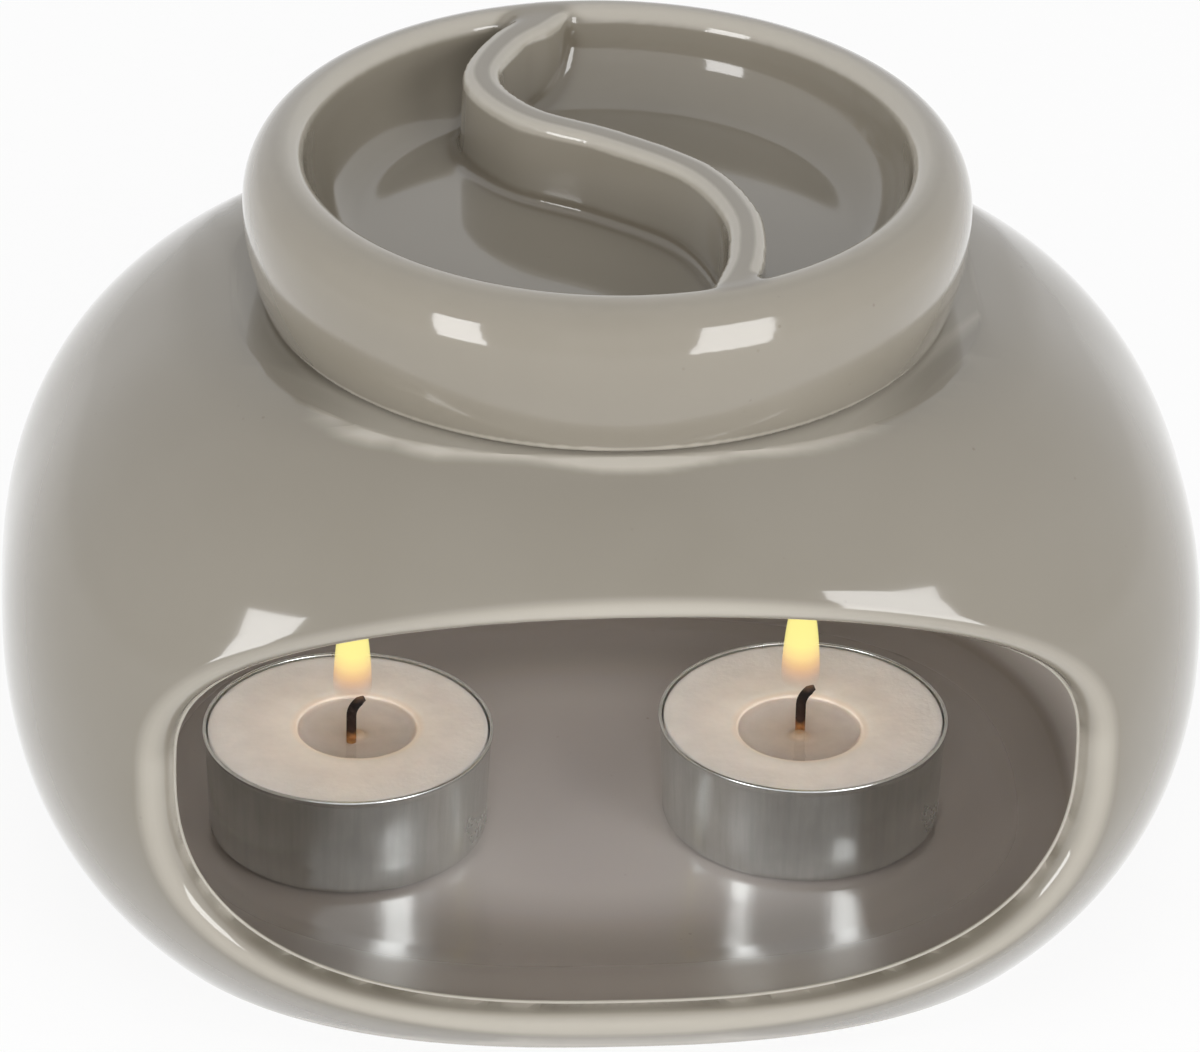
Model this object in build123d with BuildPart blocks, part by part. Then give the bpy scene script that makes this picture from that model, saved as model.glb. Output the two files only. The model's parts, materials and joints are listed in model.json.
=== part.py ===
from build123d import *
import os
from math import copysign, cos, pi, sin

# Essential oil burner: a hollow ceramic body shaped like a pebble, with a wide opening in its front, a dish
# in two compartments that rests on its crown, and two tealights that stand on its floor.
# Millimetres. The origin is the centre of the flat base, +Z is up, and the opening faces -Y.

os.makedirs("parts", exist_ok=True)

# Body: an oval pebble, widest at the belly, cut flat at the base and at the crown
body_width = 153.5
body_depth = 130.0
belly_height = 35.1
crown_reach = 54.6
keel_cut = 22.3
crown_cut = 10.2
plan_exponent = 2.5
crown_exponent = 2.3
keel_exponent = 2.14
wall = 4.4
floor_thickness = 4.3
floor_side_slope = 8.7
floor_end_slope = 11.6
floor_shift = 2.0
floor_rise = 1.5
floor_fillet = 6.0
wall_fillet = 2.0
base_rounding = 1.6

# Seat of the dish on the flat of the crown, with a low collar round the heat hole
seat_side_margin = 3.4
seat_end_margin = 0.7
shoulder_drop = 2.2
heat_hole_radius = 31.0
collar_thickness = 3.4
collar_height = 2.4
collar_rounding = 0.8

# Front opening: its margins hold at a setback behind the body's front, and its sides and top flare outwards
opening_setback = 15.0
opening_side_margin = 17.45
opening_top_margin = 17.7
opening_sill = 1.7
opening_shift = 0.9
opening_side_rise = 4.2
opening_top_exponent = 2.27
opening_bottom_exponent = 2.85
opening_side_flare_share = 0.6
opening_top_flare_share = 0.3
lip_rounding = 2.6

# Dish
foot_width = 8.1
bulge_swell = 2.65
bulge_rise = 12.7
crest_inset = 5.55
crest_rise = 20.1
rim_inner_rounding = 2.2
bowl_floor_inset = 7.0
bowl_floor_rise = 8.8
bowl_floor_thickness = 4.3
foot_rounding = 0.6
collar_clearance = 0.6

# Dividing wall of the dish: an S that runs from the back of the rim to its front
divider_thickness = 3.2
divider_foot_thickness = 5.4
divider_top_drop = 0.5
divider_top_rounding = 1.2
divider_path_shares = (
    (0.02, 1.04),
    (-0.27, 0.84),
    (-0.387, 0.54),
    (-0.26, 0.27),
    (0.015, 0.085),
    (0.28, -0.155),
    (0.4, -0.46),
    (0.36, -0.74),
    (0.25, -1.01),
)

# Tealights
cup_radius = 19.0
cup_height = 14.9
cup_sheet = 0.4
cup_bead_radius = 0.45
cup_foot_inset = 0.6
cup_foot_rounding = 1.4
wax_clearance = 0.1
wax_drop = 0.7
pool_depth = 0.9
pool_edge_rounding = 0.5
holder_radius = 6.2
holder_sheet = 0.4
holder_neck_radius = 1.3
holder_neck_height = 3.2
wick_radius = 0.65
wick_clearance = 0.06
wick_stand = 1.7
wick_bend_radius = 6.0
wick_bend_angle = 52.0
pool_radius = {"left": 7.8, "right": 8.4}
candle_left_share = 0.61
candle_right_share = 0.497
candle_y = {"left": -6.0, "right": -5.3}

# Length by which a cutter starts before, and ends beyond, what it cuts
overrun = 10.0

keel_reach = belly_height + keel_cut
seat_level = belly_height + crown_reach - crown_cut


# Points at equal steps of angle round an oval, whose two halves may reach and square off differently
def oval_points(half_width, reach_up, reach_down, exponent_up, exponent_down, point_count=32):
    points = []
    for step in range(point_count):
        angle = pi / 2 + 2 * pi * step / point_count
        upper = sin(angle) >= 0
        exponent = exponent_up if upper else exponent_down
        reach = reach_up if upper else reach_down
        x = half_width * copysign(abs(cos(angle)) ** (2 / exponent), cos(angle))
        y = reach * copysign(abs(sin(angle)) ** (2 / exponent), sin(angle))
        points.append((x, y))
    return points


# Half width and half depth of the pebble at a height, set in by a thickness
def pebble_halves(height, inset):
    rise = height - belly_height
    reach = crown_reach if rise > 0 else keel_reach
    exponent = crown_exponent if rise > 0 else keel_exponent
    share = (1 - (abs(rise) / (reach - inset)) ** exponent) ** (1 / exponent)
    return (body_width / 2 - inset) * share, (body_depth / 2 - inset) * share


# Level cross-section of the pebble at a height, set in by a thickness
def pebble_section(height, inset):
    half_width, half_depth = pebble_halves(height, inset)
    return oval_points(half_width, half_depth, half_depth, plan_exponent, plan_exponent)


# Chamber inside the body: the pebble set in by the wall, over a flat floor that slopes up to the wall
ceiling_level = seat_level - wall
wall_foot_level = floor_thickness + floor_rise
wall_foot_half_width, wall_foot_half_depth = pebble_halves(wall_foot_level, wall)
floor_half_width = wall_foot_half_width - floor_side_slope
floor_half_depth = wall_foot_half_depth - floor_end_slope
chamber_level_shares = (0.0, 0.1, 0.22, 0.35, 0.48, 0.6, 0.72, 0.83, 0.92, 1.0)
with BuildPart() as chamber:
    for level_share in chamber_level_shares:
        level = wall_foot_level + level_share * (ceiling_level - wall_foot_level)
        with BuildSketch(Plane.XY.offset(level)):
            with BuildLine():
                Spline(*pebble_section(level, wall), periodic=True)
            make_face()
    loft()
with BuildPart() as chamber_floor:
    with BuildSketch(Plane((0, floor_shift, floor_thickness))):
        with BuildLine():
            Spline(
                *oval_points(
                    floor_half_width, floor_half_depth, floor_half_depth, plan_exponent, plan_exponent
                ),
                periodic=True,
            )
        make_face()
    with BuildSketch(Plane.XY.offset(wall_foot_level)):
        with BuildLine():
            Spline(*pebble_section(wall_foot_level, wall), periodic=True)
        make_face()
    loft(ruled=True)
    add(chamber.part)
    wall_foot = chamber_floor.edges().filter_by_position(Axis.Z, wall_foot_level, wall_foot_level)
    fillet(wall_foot, wall_fillet)
    fillet(chamber_floor.faces().sort_by(Axis.Z)[0].edges(), floor_fillet)

# Cutter for the front opening, level along its bottom and flaring at its sides and top
opening_depth = body_depth / 2 - opening_setback
opening_half_width = body_width / 2 - opening_side_margin
opening_side_level = belly_height + opening_side_rise
opening_reach_up = seat_level - opening_top_margin - opening_side_level
opening_reach_down = opening_side_level - floor_thickness - opening_sill
with BuildPart() as opening:
    for depth in (opening_depth - overrun, body_depth / 2 + overrun):
        flare = depth - opening_depth
        centre = (opening_shift, -depth, opening_side_level)
        with BuildSketch(Plane(centre, x_dir=(1, 0, 0), z_dir=(0, -1, 0))):
            with BuildLine():
                Spline(
                    *oval_points(
                        opening_half_width + flare * opening_side_flare_share,
                        opening_reach_up + flare * opening_top_flare_share,
                        opening_reach_down,
                        opening_top_exponent,
                        opening_bottom_exponent,
                    ),
                    periodic=True,
                )
            make_face()
    loft(ruled=True)

# Body: the pebble, its collar, the chamber, the heat hole and the front opening with a rolled lip
shoulder_level = seat_level - shoulder_drop
recess_radius = heat_hole_radius + collar_thickness + collar_clearance
foot_radius = recess_radius + foot_width
seat_half_width = foot_radius + seat_side_margin
seat_half_depth = foot_radius + seat_end_margin
body_level_shares = (0.0, 0.09, 0.2, 0.33, 0.46, 0.58, 0.7, 0.8, 0.89, 0.955, 1.0)
with BuildPart() as burner_body:
    for level_share in body_level_shares:
        level = level_share * shoulder_level
        with BuildSketch(Plane.XY.offset(level)):
            with BuildLine():
                Spline(*pebble_section(level, 0), periodic=True)
            make_face()
    with BuildSketch(Plane.XY.offset(seat_level)):
        with BuildLine():
            Spline(*oval_points(seat_half_width, seat_half_depth, seat_half_depth, 2, 2), periodic=True)
        make_face()
    loft()
    fillet(burner_body.faces().sort_by(Axis.Z)[0].edges(), base_rounding)
    with BuildSketch(Plane.XY.offset(seat_level)):
        Circle(heat_hole_radius + collar_thickness)
    extrude(amount=collar_height)
    fillet(burner_body.faces().sort_by(Axis.Z)[-1].edges(), collar_rounding)
    add(chamber_floor.part, mode=Mode.SUBTRACT)
    with BuildSketch(Plane.XY.offset(ceiling_level - overrun)):
        Circle(heat_hole_radius)
    extrude(amount=wall + collar_height + 2 * overrun, mode=Mode.SUBTRACT)
    add(opening.part, mode=Mode.SUBTRACT)
    rims = burner_body.edges().filter_by(GeomType.BSPLINE).filter_by(lambda edge: edge.is_closed)
    fillet(rims.sort_by(Axis.Y)[0], lip_rounding)
burner_body.part.label = "burner_body"
export_step(burner_body.part, "parts/burner_body.step")

# Dish: a turned bowl with a thick rounded rim, a recess underneath that fits over the collar, and a divider
bulge_level = seat_level + bulge_rise
crest_level = seat_level + crest_rise
bowl_floor_level = seat_level + bowl_floor_rise
bulge_radius = foot_radius + bulge_swell
crest_radius = bulge_radius - crest_inset
rim_inner_radius = crest_radius - rim_inner_rounding
rim_inner_level = crest_level - rim_inner_rounding
bowl_floor_radius = rim_inner_radius - bowl_floor_inset
recess_level = bowl_floor_level - bowl_floor_thickness
flank_radius = (bulge_rise**2 + bulge_swell**2) / (2 * bulge_swell)
divider_top_level = crest_level - divider_top_drop
divider_foot_level = bowl_floor_level - bowl_floor_thickness / 2
divider_path = [(rim_inner_radius * x, rim_inner_radius * y) for x, y in divider_path_shares]
with BuildPart() as divider:
    for level, thickness in (
        (divider_foot_level, divider_foot_thickness),
        (divider_top_level, divider_thickness),
    ):
        with BuildSketch(Plane.XY.offset(level)):
            with BuildLine():
                Spline(*divider_path)
            trace(line_width=thickness)
    loft()
    top_edges = divider.faces().sort_by(Axis.Z)[-1].edges().sort_by(SortBy.LENGTH)[-2:]
    fillet(top_edges, divider_top_rounding)
with BuildPart() as oil_dish:
    with BuildSketch(Plane.XZ):
        with BuildLine():
            Polyline(
                (0, bowl_floor_level),
                (0, recess_level),
                (recess_radius, recess_level),
                (recess_radius, seat_level),
                (foot_radius, seat_level),
            )
            RadiusArc((foot_radius, seat_level), (bulge_radius, bulge_level), -flank_radius)
            EllipticalCenterArc(
                (crest_radius, bulge_level),
                bulge_radius - crest_radius,
                crest_level - bulge_level,
                0,
                arc_size=90,
            )
            CenterArc((crest_radius, rim_inner_level), rim_inner_rounding, 90, 90)
            EllipticalCenterArc(
                (bowl_floor_radius, rim_inner_level),
                rim_inner_radius - bowl_floor_radius,
                rim_inner_level - bowl_floor_level,
                0,
                arc_size=-90,
            )
            Line((bowl_floor_radius, bowl_floor_level), (0, bowl_floor_level))
        make_face()
    revolve(axis=Axis.Z)
    foot_edges = oil_dish.edges().filter_by(GeomType.CIRCLE).group_by(Axis.Z)[0]
    fillet(foot_edges.sort_by(SortBy.RADIUS)[-1], foot_rounding)
    add(divider.part)
oil_dish.part.label = "oil_dish"
export_step(oil_dish.part, "parts/oil_dish.step")

# Tealights: each a cup of thin sheet with a beaded rim, a wax disc with a melted pool, a wick and its holder
cup_wall_radius = cup_radius - cup_bead_radius
cup_bead_level = cup_height - cup_bead_radius
cup_foot_radius = cup_wall_radius - cup_foot_inset
wax_level = cup_height - wax_drop
pool_level = wax_level - pool_depth
wax_foot_radius = cup_foot_radius - cup_sheet - wax_clearance
wax_top_radius = wax_foot_radius + cup_foot_inset * (wax_level - cup_sheet) / cup_bead_level
wick_bore_radius = wick_radius + wick_clearance
holder_top_level = cup_sheet + holder_sheet
neck_top_level = holder_top_level + holder_neck_height
candle_x = {"left": -floor_half_width * candle_left_share, "right": floor_half_width * candle_right_share}
for side in ("left", "right"):
    candle_foot = Vector(candle_x[side], candle_y[side], floor_thickness)
    candle_axis = Axis(candle_foot, (0, 0, 1))
    candle_section = Plane(candle_foot, x_dir=(1, 0, 0), z_dir=(0, -1, 0))

    with BuildPart() as tealight_cup:
        with BuildSketch(candle_section) as cup_section:
            with BuildLine():
                Polyline(
                    (0, 0),
                    (cup_foot_radius, 0),
                    (cup_wall_radius, cup_bead_level),
                    (0, cup_bead_level),
                    close=True,
                )
            make_face()
            fillet(cup_section.vertices().group_by(Axis.Y)[0].sort_by(Axis.X)[-1], cup_foot_rounding)
        revolve(axis=candle_axis)
        offset(amount=-cup_sheet, openings=tealight_cup.faces().sort_by(Axis.Z)[-1])
        with BuildSketch(candle_section):
            with Locations((cup_wall_radius, cup_bead_level)):
                Circle(cup_bead_radius)
        revolve(axis=candle_axis)
    tealight_cup.part.label = "tealight_cup_" + side
    export_step(tealight_cup.part, "parts/tealight_cup_" + side + ".step")

    with BuildPart() as tealight_wax:
        with BuildSketch(candle_section) as wax_section:
            with BuildLine():
                Polyline(
                    (wick_bore_radius, pool_level),
                    (wick_bore_radius, cup_sheet),
                    (wax_foot_radius, cup_sheet),
                    (wax_top_radius, wax_level),
                    (pool_radius[side], wax_level),
                    (pool_radius[side], pool_level),
                    close=True,
                )
            make_face()
            fillet(wax_section.vertices().group_by(Axis.Y)[0].sort_by(Axis.X)[-1], cup_foot_rounding)
            fillet(wax_section.vertices().group_by(Axis.Y)[-1].sort_by(Axis.X)[0], pool_edge_rounding)
            with BuildLine():
                Polyline(
                    (0, cup_sheet),
                    (holder_radius + wax_clearance, cup_sheet),
                    (holder_radius + wax_clearance, holder_top_level + wax_clearance),
                    (holder_neck_radius + wax_clearance, holder_top_level + wax_clearance),
                    (holder_neck_radius + wax_clearance, neck_top_level + wax_clearance),
                    (0, neck_top_level + wax_clearance),
                    close=True,
                )
            make_face(mode=Mode.SUBTRACT)
        revolve(axis=candle_axis)
    tealight_wax.part.label = "tealight_wax_" + side
    export_step(tealight_wax.part, "parts/tealight_wax_" + side + ".step")

    with BuildPart() as wick_holder:
        with BuildSketch(candle_section):
            with BuildLine():
                Polyline(
                    (wick_bore_radius, cup_sheet),
                    (holder_radius, cup_sheet),
                    (holder_radius, holder_top_level),
                    (holder_neck_radius, holder_top_level),
                    (holder_neck_radius, neck_top_level),
                    (wick_bore_radius, neck_top_level),
                    close=True,
                )
            make_face()
        revolve(axis=candle_axis)
    wick_holder.part.label = "wick_holder_" + side
    export_step(wick_holder.part, "parts/wick_holder_" + side + ".step")

    wick_bend_level = pool_level + wick_stand
    with BuildPart() as tealight_wick:
        with BuildLine(candle_section):
            Line((0, cup_sheet), (0, wick_bend_level))
            CenterArc((wick_bend_radius, wick_bend_level), wick_bend_radius, 180, -wick_bend_angle)
        with BuildSketch(Plane(candle_foot + Vector(0, 0, cup_sheet))):
            Circle(wick_radius)
        sweep()
    tealight_wick.part.label = "tealight_wick_" + side
    export_step(tealight_wick.part, "parts/tealight_wick_" + side + ".step")
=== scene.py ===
import json
import math

import bpy
from mathutils import Matrix, Quaternion, Vector

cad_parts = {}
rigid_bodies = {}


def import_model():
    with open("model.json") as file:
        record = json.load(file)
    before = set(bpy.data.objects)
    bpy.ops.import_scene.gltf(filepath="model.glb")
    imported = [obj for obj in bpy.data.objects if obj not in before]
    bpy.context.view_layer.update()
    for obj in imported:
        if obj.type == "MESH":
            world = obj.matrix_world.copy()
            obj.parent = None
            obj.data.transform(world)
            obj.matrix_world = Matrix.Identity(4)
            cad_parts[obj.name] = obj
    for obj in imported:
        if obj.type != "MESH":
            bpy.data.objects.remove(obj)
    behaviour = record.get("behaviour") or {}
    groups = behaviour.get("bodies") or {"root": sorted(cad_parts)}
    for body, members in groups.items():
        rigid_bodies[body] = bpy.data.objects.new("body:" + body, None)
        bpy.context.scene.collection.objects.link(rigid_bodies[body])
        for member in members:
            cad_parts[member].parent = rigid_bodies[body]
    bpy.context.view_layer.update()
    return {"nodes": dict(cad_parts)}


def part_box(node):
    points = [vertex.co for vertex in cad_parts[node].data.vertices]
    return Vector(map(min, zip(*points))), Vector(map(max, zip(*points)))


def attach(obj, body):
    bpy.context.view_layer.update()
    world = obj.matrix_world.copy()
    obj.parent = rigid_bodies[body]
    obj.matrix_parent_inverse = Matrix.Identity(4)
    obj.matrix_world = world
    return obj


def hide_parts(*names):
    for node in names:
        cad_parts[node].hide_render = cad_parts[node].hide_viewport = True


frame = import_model()
nodes = frame["nodes"]
mm = 0.001  # the dictionaries below are in millimetres, Blender works in metres
seedSize = 2.0
mergeDistance = 0.01
sides = ("left", "right")


# helpers
def boxOf(node):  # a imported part's lowest and highest corner, in millimetres
    return [[round(value / mm, 2) for value in corner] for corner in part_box(node)]


def clearSelection():
    if bpy.context.mode != "OBJECT":
        bpy.ops.object.mode_set(mode="OBJECT")
    bpy.ops.object.select_all(action="DESELECT")


def pickOnly(obj):
    clearSelection()
    obj.select_set(True)
    bpy.context.view_layer.objects.active = obj


def startEdit(obj, kind="VERT", everything=True):
    pickOnly(obj)
    bpy.ops.object.mode_set(mode="EDIT")
    bpy.ops.mesh.select_mode(type=kind)
    bpy.ops.mesh.select_all(action="SELECT" if everything else "DESELECT")


def endEdit():
    bpy.ops.object.mode_set(mode="OBJECT")


def added(name):
    obj = bpy.context.active_object
    obj.name = name
    obj.data.name = name
    bpy.ops.object.transform_apply(location=True, rotation=True, scale=True)
    return obj


def copied(obj, name, move):  # the same piece at another place, with a mesh of its own
    pickOnly(obj)
    bpy.ops.object.duplicate_move(TRANSFORM_OT_translate={"value": move * mm})
    return added(name)


def applyModifier(obj, kind, **settings):
    pickOnly(obj)
    modifier = obj.modifiers.new(kind.lower(), kind)
    for key, value in settings.items():
        setattr(modifier, key, value)
    bpy.ops.object.modifier_apply(modifier=modifier.name)


def cutOrJoin(obj, tool, operation):
    applyModifier(obj, "BOOLEAN", operation=operation, solver="EXACT", object=tool)
    bpy.data.objects.remove(tool)


def smoothAll(obj, angle):
    pickOnly(obj)
    bpy.ops.object.shade_smooth_by_angle(angle=math.radians(angle))


def placeVertices(obj, rule):
    for vertex in obj.data.vertices:
        vertex.co = rule(vertex.co.copy())
    obj.data.update()


def editWhere(obj, kind, elements, rule):  # edit mode with just the elements that the rule picks
    startEdit(obj, kind, everything=False)
    endEdit()
    for element in elements:
        element.select = rule(element)
    bpy.ops.object.mode_set(mode="EDIT")


def tidyMesh(obj):
    startEdit(obj)
    bpy.ops.mesh.remove_doubles(threshold=mergeDistance * mm)
    bpy.ops.mesh.select_all(action="SELECT")
    bpy.ops.mesh.normals_make_consistent(inside=False)
    endEdit()


def startLine(name, place):  # a single vertex, ready in edit mode to be extruded into a line
    clearSelection()
    bpy.ops.mesh.primitive_plane_add(size=seedSize * mm)
    obj = added(name)
    startEdit(obj)
    bpy.ops.mesh.merge(type="CENTER")
    bpy.ops.transform.translate(value=place * mm)
    return obj


def extrudeLine(path):
    for here, there in zip(path, path[1:]):
        bpy.ops.mesh.extrude_vertices_move(TRANSFORM_OT_translate={"value": (there - here) * mm})
    bpy.ops.mesh.select_all(action="SELECT")


def turned(name, profile, centre=(0, 0, 0), steps=128):  # (radius, height) points spun round a vertical axis
    path = [Vector((radius, 0, height)) for radius, height in profile]
    obj = startLine(name, path[0] + Vector(centre))
    extrudeLine(path)
    bpy.ops.mesh.spin(steps=steps, angle=math.tau, center=Vector(centre) * mm, axis=(0, 0, 1))
    endEdit()
    tidyMesh(obj)
    return obj


def arcPoints(centre, reachX, reachZ, startAngle, endAngle, steps):
    points = []
    for step in range(steps + 1):
        angle = math.radians(startAngle + (endAngle - startAngle) * step / steps)
        points.append((centre[0] + reachX * math.cos(angle), centre[1] + reachZ * math.sin(angle)))
    return points


def cornerPoint(start, corner, end, share, weight=1.0):  # a point of the curve that rounds off a corner
    a, b, c = (1 - share) ** 2, 2 * share * (1 - share) * weight, share**2
    return (start * a + corner * b + end * c) / (a + b + c)


def ovalUnit(turn, power):  # a point of the unit superellipse
    c, s = math.cos(turn), math.sin(turn)
    reach = (abs(c) ** power + abs(s) ** power) ** (-1 / power)
    return c * reach, s * reach


bends = {"shortest": 0.02, "limit": 0.6, "passes": 3}


def averageAlongEdges(mesh, values, passes):
    pairs = [tuple(edge.vertices) for edge in mesh.edges]
    for _ in range(passes):
        sums, counts = list(values), [1] * len(values)
        for a, b in pairs:
            sums[a] += values[b]
            sums[b] += values[a]
            counts[a] += 1
            counts[b] += 1
        values = [total / count for total, count in zip(sums, counts)]
    return values


def markBends(obj):  # positive where the surface bends outwards, in turns per millimetre
    mesh = obj.data
    places = [vertex.co.copy() for vertex in mesh.vertices]
    normals = [normal.vector.copy() for normal in mesh.vertex_normals]
    sums, counts = [0.0] * len(places), [0] * len(places)
    for edge in mesh.edges:
        a, b = edge.vertices
        along = places[b] - places[a]
        if along.length < bends["shortest"] * mm:
            continue
        bend = (normals[b] - normals[a]).dot(along) / along.length_squared * mm
        for end in (a, b):
            sums[end] += bend
            counts[end] += 1
    limit = bends["limit"]
    means = [max(-limit, min(limit, total / max(count, 1))) for total, count in zip(sums, counts)]
    layer = mesh.attributes.new("bend", "FLOAT", "POINT")
    layer.data.foreach_set("value", averageAlongEdges(mesh, means, bends["passes"]))


# ceramic body: a pebble of superellipses, cut flat below and at the dish's seat
bodyHigh = boxOf("burner_body")[1]
dishLow, dishHigh = boxOf("oil_dish")
cupBoxes = {side: boxOf("tealight_cup_" + side) for side in sides}
pebble = {
    "halfWidth": bodyHigh[0],
    "halfDepth": bodyHigh[1],
    "belly": 35.1,
    "crownReach": 54.6,
    "keelReach": 57.4,
    "planPower": 2.5,
    "crownPower": 2.3,
    "keelPower": 2.14,
    "wall": 4.4,
    "shoulder": 77.3,
    "seat": dishLow[2],
    "seatWiden": (-0.076, 0.028),
    "flatness": 0.9999,
    "seatBevel": 0.5,
    "baseBevel": 0.4,
    "columns": 240,
    "rows": 84,
    "smoothAngle": 38,
}
mouth = {
    "depth": 50.0,
    "halfWidth": 59.3,
    "top": 61.8,
    "bottom": 6.0,
    "shift": 0.9,
    "sideLevel": 39.3,
    "topPower": 2.27,
    "bottomPower": 2.85,
    "flares": (0.6, 0.3, 0.0),  # to the sides, up and down
    "lipRound": 3.8,
    "lipWeight": 0.76,
    "innerDepth": 34.0,
    "edgeSearch": (10.0, 80.0),
    "halvings": 40,
    "faceRows": 10,
    "roundRows": 8,
}
lipBead = {"radius": 0.28, "sides": 8, "smoothAngle": 80}
chamber = {
    "floor": cupBoxes["left"][0][2],
    "floorHalf": (53.3, 40.3),
    "floorShift": 2.0,
    "creaseShares": (0.015, 0.005, 0.03),  # rings close to the floor's edge keep its shading crisp
    "slopeShares": (0.25, 0.5, 0.75),
    "wallFoot": 5.8,
    "footBlend": 0.9,
    "footRows": 5,
    "wallRows": 44,
    "ceiling": pebble["seat"] - pebble["wall"],
    "ceilingShares": (0.04, 0.96),
    "heatHole": 31.0,
    "shaftTop": 86.0,
    "skin": (0.2, 0.5, 1.0),  # how far past the walls, floor and ceiling a face still counts as the chamber's
}
collar = {"radius": 34.4, "top": bodyHigh[2], "sunk": 2.0, "bevel": 0.8, "bevelSteps": 4, "facets": 192}
bellyCentre = Vector((0, 0, pebble["belly"]))


def pebbleHalf(rise, inset):  # the exponent and the reach of the half that a height is in
    if rise > 0:
        return pebble["crownPower"], pebble["crownReach"] - inset
    return pebble["keelPower"], pebble["keelReach"] - inset


def pebbleSpan(level, inset):  # half width and half depth of the pebble at a height
    rise = level - pebble["belly"]
    power, reach = pebbleHalf(rise, inset)
    share = max(0.0, 1 - (abs(rise) / reach) ** power) ** (1 / power)
    return (pebble["halfWidth"] - inset) * share, (pebble["halfDepth"] - inset) * share


def pebbleLevel(point, inset):  # 1 on the pebble's surface, less inside
    rise = point.z - pebble["belly"]
    power, reach = pebbleHalf(rise, inset)
    acrossShare = abs(point.x / (pebble["halfWidth"] - inset)) ** pebble["planPower"]
    deepShare = abs(point.y / (pebble["halfDepth"] - inset)) ** pebble["planPower"]
    plan = (acrossShare + deepShare) ** (power / pebble["planPower"])
    return (plan + abs(rise / reach) ** power) ** (1 / power)


def pebbleAlong(direction):  # the surface point that a ray from the belly's centre meets
    reach = 1 / pebbleLevel(bellyCentre + direction, 0)
    return bellyCentre + direction * reach


def mouthPoint(turn, depth):
    flare = depth - mouth["depth"]
    side, up, down = mouth["flares"]
    upper = math.sin(turn) >= 0
    x, z = ovalUnit(turn, mouth["topPower"] if upper else mouth["bottomPower"])
    x *= mouth["halfWidth"] + flare * side
    if upper:
        z *= mouth["top"] - mouth["sideLevel"] + flare * up
    else:
        z *= mouth["sideLevel"] - mouth["bottom"] + flare * down
    return Vector((mouth["shift"] + x, -depth, mouth["sideLevel"] + z))


def mouthEdge(turn, inset):  # where the mouth's cut meets the pebble
    near, far = mouth["edgeSearch"]
    for _ in range(mouth["halvings"]):
        middle = (near + far) / 2
        if pebbleLevel(mouthPoint(turn, middle), inset) < 1:
            near = middle
        else:
            far = middle
    return mouthPoint(turn, near)


def shellColumn(turn):  # a line of points from inside the mouth, over the lip, to the middle of the back
    outer, inner = mouthEdge(turn, 0), mouthEdge(turn, pebble["wall"])
    start, back = (outer - bellyCentre).normalized(), Vector((0, 1, 0))
    lipShare = mouth["lipRound"] / (outer - bellyCentre).length / start.angle(back)
    onShell = pebbleAlong(start.slerp(back, lipShare))
    onFace = outer + (inner - outer).normalized() * mouth["lipRound"]
    deepest = mouthPoint(turn, mouth["innerDepth"])
    points = [deepest.lerp(onFace, row / mouth["faceRows"]) for row in range(mouth["faceRows"])]
    for row in range(mouth["roundRows"]):
        points.append(cornerPoint(onFace, outer, onShell, row / mouth["roundRows"], mouth["lipWeight"]))
    for row in range(pebble["rows"]):
        share = lipShare + (1 - lipShare) * row / pebble["rows"]
        points.append(pebbleAlong(start.slerp(back, share)))
    return [easeShoulder(point) for point in points + [pebbleAlong(back)]]


def easeShoulder(point):  # the crown turns a little wider or narrower where the dish sits
    span = (point.z - pebble["shoulder"]) / (pebble["seat"] - pebble["shoulder"])
    share = min(1.0, max(0.0, span)) ** 2
    widenX, widenY = pebble["seatWiden"]
    return Vector((point.x * (1 + widenX * share), point.y * (1 + widenY * share), point.z))


def gridOf(name, lists):  # a grid primitive rolled into a tube, with each column on its list of points
    columns, rows, span = len(lists), len(lists[0]) - 1, 2
    clearSelection()
    bpy.ops.mesh.primitive_grid_add(x_subdivisions=columns, y_subdivisions=rows, size=span)
    obj = added(name)

    def rule(co):
        column = round((co.x / span + 0.5) * columns) % columns
        row = round((co.y / span + 0.5) * rows)
        return lists[column][row] * mm

    placeVertices(obj, rule)
    tidyMesh(obj)
    startEdit(obj, "EDGE", everything=False)
    bpy.ops.mesh.select_non_manifold(
        extend=False,
        use_wire=False,
        use_multi_face=False,
        use_non_contiguous=False,
        use_verts=False,
    )
    bpy.ops.mesh.edge_face_add()
    bpy.ops.mesh.select_all(action="SELECT")
    bpy.ops.mesh.normals_make_consistent(inside=False)
    endEdit()
    return obj


def turnsOf(count):
    return [math.tau * index / count for index in range(count)]


def makeShell():
    shell = gridOf("ceramicBody", [shellColumn(turn) for turn in turnsOf(pebble["columns"])])
    cut = {"plane_no": (0, 0, 1), "use_fill": True, "threshold": 0.000001}
    startEdit(shell)
    bpy.ops.mesh.bisect(plane_co=(0, 0, pebble["seat"] * mm), clear_outer=True, **cut)
    bpy.ops.mesh.select_all(action="SELECT")
    bpy.ops.mesh.bisect(plane_co=(0, 0, 0), clear_inner=True, **cut)
    endEdit()
    return shell


def ringFlatFace(obj, level, width):  # a narrow ring inside the rim of a flat face keeps its shading flat
    def rule(face):
        return abs(face.normal.z) > pebble["flatness"] and abs(face.center.z / mm - level) < 2 * mergeDistance

    editWhere(obj, "FACE", obj.data.polygons, rule)
    bpy.ops.mesh.inset(thickness=width * mm, depth=0)
    endEdit()


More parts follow.
